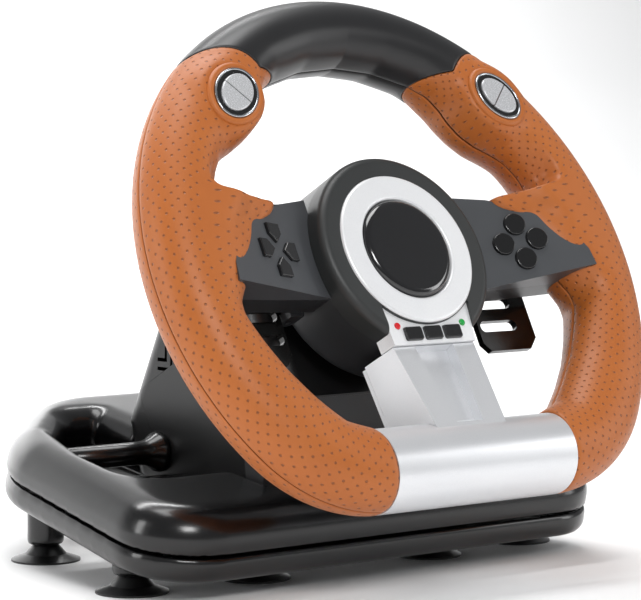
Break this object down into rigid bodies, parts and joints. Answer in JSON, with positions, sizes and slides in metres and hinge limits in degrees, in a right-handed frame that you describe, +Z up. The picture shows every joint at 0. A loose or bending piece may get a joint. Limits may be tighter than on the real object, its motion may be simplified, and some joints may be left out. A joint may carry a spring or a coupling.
{
  "type": "racing wheel",
  "caption": "Racing game wheel with a D-shaped rim, hub keys, shift paddles and a leaning housing on a suction-cup base.",
  "frame": {"origin": "on the table under the middle of the object's box", "axes": "+X to the driver's right, -Y towards the driver, +Z up"},
  "size_m": [0.251, 0.2566, 0.241],
  "materials": {
    "gloss_black": "gloss black moulded ABS",
    "satin_black": "satin black moulded plastic",
    "charcoal": "fine spark-textured charcoal plastic",
    "orange_grip": "orange rubber skin with small dimples",
    "silver_paint": "satin silver paint on plastic",
    "chrome_key": "bright plated plastic",
    "lens_black": "gloss black domed lens",
    "cup_rubber": "soft black rubber",
    "frame_plastic": "black glass-filled nylon",
    "steel": "zinc-plated steel",
    "bush_brass": "sintered bronze bush",
    "board_green": "green solder-masked board",
    "lamp_clear": "coloured clear lamp plastic"
  },
  "bodies": {
    "base": {"base_bottom_shell": "gloss_black", "base_top_shell": "gloss_black", "cross_tubes": "gloss_black", "housing_front_shell": "gloss_black", "housing_rear_shell": "gloss_black", "housing_front_panel": "charcoal", "cable_gland": "satin_black", "suction_cups": "cup_rubber", "base_screws": "steel", "bearing_carrier": "frame_plastic", "shaft_bushes": "bush_brass", "centring_spring": "steel", "angle_sensor": "satin_black", "main_board": "board_green", "rumble_motors": "steel"},
    "wheel": {"top_cover_front": "satin_black", "top_cover_rear": "satin_black", "grip_left_front": "orange_grip", "grip_left_rear": "orange_grip", "grip_right_front": "orange_grip", "grip_right_rear": "orange_grip", "lower_bar_front": "silver_paint", "lower_bar_rear": "silver_paint", "wheel_frame": "frame_plastic", "button_boards": "board_green", "hub_bezel": "charcoal", "hub_ring": "silver_paint", "hub_lens": "lens_black", "lower_panel": "silver_paint", "status_lamps": "lamp_clear", "spoke_plate_left": "charcoal", "spoke_plate_right": "charcoal", "pod_bezel_left": "chrome_key", "pod_bezel_right": "chrome_key", "hub_rear_shell": "satin_black", "wheel_screws": "steel", "paddle_pins": "steel", "steering_shaft": "steel"},
    "pad_key_up": {"pad_key_up": "gloss_black"},
    "pad_key_left": {"pad_key_left": "gloss_black"},
    "pad_key_down": {"pad_key_down": "gloss_black"},
    "pad_key_right": {"pad_key_right": "gloss_black"},
    "round_key_up": {"round_key_up": "gloss_black"},
    "round_key_left": {"round_key_left": "gloss_black"},
    "round_key_down": {"round_key_down": "gloss_black"},
    "round_key_right": {"round_key_right": "gloss_black"},
    "menu_button_1": {"menu_button_1": "gloss_black"},
    "menu_button_2": {"menu_button_2": "gloss_black"},
    "menu_button_3": {"menu_button_3": "gloss_black"},
    "pod_button_left_upper": {"pod_button_left_upper": "chrome_key"},
    "pod_button_left_lower": {"pod_button_left_lower": "chrome_key"},
    "pod_button_right_upper": {"pod_button_right_upper": "chrome_key"},
    "pod_button_right_lower": {"pod_button_right_lower": "chrome_key"},
    "paddle_left": {"paddle_left": "satin_black"},
    "paddle_right": {"paddle_right": "satin_black"},
    "rumble_weight_left": {"rumble_weight_left": "steel"},
    "rumble_weight_right": {"rumble_weight_right": "steel"}
  },
  "joints": [
    {"name": "steering", "type": "hinge", "parent": "base", "child": "wheel", "pos_m": [0, -0.0773, 0.138], "axis": [0, -0.887, 0.4617], "range_deg": [-90, 90], "stiffness_Nm_per_rad": 0.25, "deforming": ["centring_spring"]},
    {"name": "pad_key_up_press", "type": "slide", "parent": "wheel", "child": "pad_key_up", "axis": [-0.2924, 0.8483, -0.4416], "range_m": [0, 0.001], "stiffness_N_per_m": 400},
    {"name": "pad_key_left_press", "type": "slide", "parent": "wheel", "child": "pad_key_left", "axis": [-0.2924, 0.8483, -0.4416], "range_m": [0, 0.001], "stiffness_N_per_m": 400},
    {"name": "pad_key_down_press", "type": "slide", "parent": "wheel", "child": "pad_key_down", "axis": [-0.2924, 0.8483, -0.4416], "range_m": [0, 0.001], "stiffness_N_per_m": 400},
    {"name": "pad_key_right_press", "type": "slide", "parent": "wheel", "child": "pad_key_right", "axis": [-0.2924, 0.8483, -0.4416], "range_m": [0, 0.001], "stiffness_N_per_m": 400},
    {"name": "round_key_up_press", "type": "slide", "parent": "wheel", "child": "round_key_up", "axis": [0.2924, 0.8483, -0.4416], "range_m": [0, 0.001], "stiffness_N_per_m": 400},
    {"name": "round_key_left_press", "type": "slide", "parent": "wheel", "child": "round_key_left", "axis": [0.2924, 0.8483, -0.4416], "range_m": [0, 0.001], "stiffness_N_per_m": 400},
    {"name": "round_key_down_press", "type": "slide", "parent": "wheel", "child": "round_key_down", "axis": [0.2924, 0.8483, -0.4416], "range_m": [0, 0.001], "stiffness_N_per_m": 400},
    {"name": "round_key_right_press", "type": "slide", "parent": "wheel", "child": "round_key_right", "axis": [0.2924, 0.8483, -0.4416], "range_m": [0, 0.001], "stiffness_N_per_m": 400},
    {"name": "menu_button_1_press", "type": "slide", "parent": "wheel", "child": "menu_button_1", "axis": [0, 0.887, -0.4617], "range_m": [0, 0.001], "stiffness_N_per_m": 400},
    {"name": "menu_button_2_press", "type": "slide", "parent": "wheel", "child": "menu_button_2", "axis": [0, 0.887, -0.4617], "range_m": [0, 0.001], "stiffness_N_per_m": 400},
    {"name": "menu_button_3_press", "type": "slide", "parent": "wheel", "child": "menu_button_3", "axis": [0, 0.887, -0.4617], "range_m": [0, 0.001], "stiffness_N_per_m": 400},
    {"name": "pod_button_left_upper_press", "type": "slide", "parent": "wheel", "child": "pod_button_left_upper", "axis": [0, 0.887, -0.4617], "range_m": [0, 0.0008], "stiffness_N_per_m": 400},
    {"name": "pod_button_left_lower_press", "type": "slide", "parent": "wheel", "child": "pod_button_left_lower", "axis": [0, 0.887, -0.4617], "range_m": [0, 0.0008], "stiffness_N_per_m": 400},
    {"name": "pod_button_right_upper_press", "type": "slide", "parent": "wheel", "child": "pod_button_right_upper", "axis": [0, 0.887, -0.4617], "range_m": [0, 0.0008], "stiffness_N_per_m": 400},
    {"name": "pod_button_right_lower_press", "type": "slide", "parent": "wheel", "child": "pod_button_right_lower", "axis": [0, 0.887, -0.4617], "range_m": [0, 0.0008], "stiffness_N_per_m": 400},
    {"name": "paddle_left_pull", "type": "hinge", "parent": "wheel", "child": "paddle_left", "pos_m": [-0.048, -0.05165, 0.12014], "axis": [0, 0.4617, 0.887], "range_deg": [0, 7], "stiffness_Nm_per_rad": 0.6},
    {"name": "paddle_right_pull", "type": "hinge", "parent": "wheel", "child": "paddle_right", "pos_m": [0.048, -0.05165, 0.12014], "axis": [0, -0.4617, -0.887], "range_deg": [0, 7], "stiffness_Nm_per_rad": 0.6},
    {"name": "rumble_weight_left_spin", "type": "hinge", "parent": "base", "child": "rumble_weight_left", "pos_m": [-0.038, -0.01585, 0.04049], "axis": [-1, 0, 0], "continuous": true},
    {"name": "rumble_weight_right_spin", "type": "hinge", "parent": "base", "child": "rumble_weight_right", "pos_m": [0.038, -0.01585, 0.04049], "axis": [1, 0, 0], "continuous": true}
  ]
}
